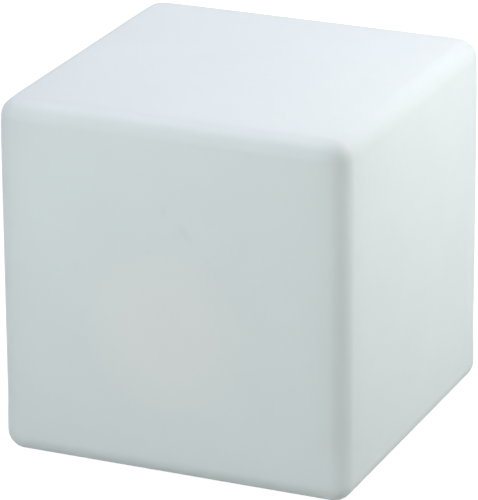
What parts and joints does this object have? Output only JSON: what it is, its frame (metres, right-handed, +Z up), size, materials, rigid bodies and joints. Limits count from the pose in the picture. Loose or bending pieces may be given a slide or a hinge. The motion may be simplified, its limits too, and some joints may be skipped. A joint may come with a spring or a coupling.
{
  "type": "cube light",
  "caption": "Hollow rounded cube light in white moulded plastic, with a rechargeable LED module screwed into a round recess in its base.",
  "frame": {"origin": "on the floor under the middle of the cube, at the undersides of its feet", "axes": "+Z up; +X and +Y square to the side faces, with the charging socket on the +X side of the power button"},
  "size_m": [0.4, 0.4, 0.4025],
  "materials": {
    "shell_plastic": "satin moulded polyethylene, milk white, faint orange peel",
    "housing_plastic": "fine spark-eroded texture, light grey",
    "black_plastic": "satin moulded plastic",
    "frosted_plastic": "frosted polycarbonate",
    "foot_rubber": "matte rubber",
    "button_rubber": "soft-touch rubber",
    "flap_rubber": "matte moulded rubber",
    "silicone": "translucent silicone",
    "steel": "stainless, slightly brushed",
    "nickel": "nickel plated",
    "brass": "turned brass",
    "aluminium": "rolled sheet",
    "board_green": "solder mask",
    "board_white": "white solder mask",
    "phosphor": "LED package with yellow phosphor",
    "cell_wrap": "shrink wrap",
    "wire_red": "wire insulation",
    "wire_black": "wire insulation",
    "wire_grey": "cable sheath"
  },
  "bodies": {
    "cube": {"shell": "shell_plastic", "threaded_inserts": "brass", "feet": "foot_rubber", "module_housing": "housing_plastic", "flange_gasket": "silicone", "screw_washers": "foot_rubber", "flange_screws": "steel", "switch_body": "black_plastic", "button_seal": "foot_rubber", "indicator_lens": "frosted_plastic", "charge_socket": "black_plastic", "charge_pin": "nickel", "socket_nut": "nickel", "flap_pin": "steel", "battery_cradle": "black_plastic", "battery_cells": "cell_wrap", "cell_links": "nickel", "battery_clamp": "black_plastic", "clamp_screws": "steel", "control_board": "board_green", "board_parts": "black_plastic", "lead_connectors": "board_white", "board_screws": "steel", "positive_leads": "wire_red", "negative_leads": "wire_black", "led_lead": "wire_grey", "deck_plate": "aluminium", "deck_screws": "steel", "led_board": "board_white", "led_chips": "phosphor", "led_board_screws": "steel", "dome_seal": "silicone", "diffuser_dome": "frosted_plastic"},
    "button": {"power_button": "button_rubber", "switch_plunger": "housing_plastic"},
    "flap": {"port_flap": "flap_rubber"}
  },
  "joints": [
    {"name": "button_press", "type": "slide", "parent": "cube", "child": "button", "axis": [0, 0, 1], "range_m": [0, 0.002], "stiffness_N_per_m": 1200, "springref_m": -0.0005},
    {"name": "flap_hinge", "type": "hinge", "parent": "cube", "child": "flap", "pos_m": [0.018, -0.0306, 0.0192], "axis": [-1, 0, 0], "range_deg": [0, 110]}
  ]
}
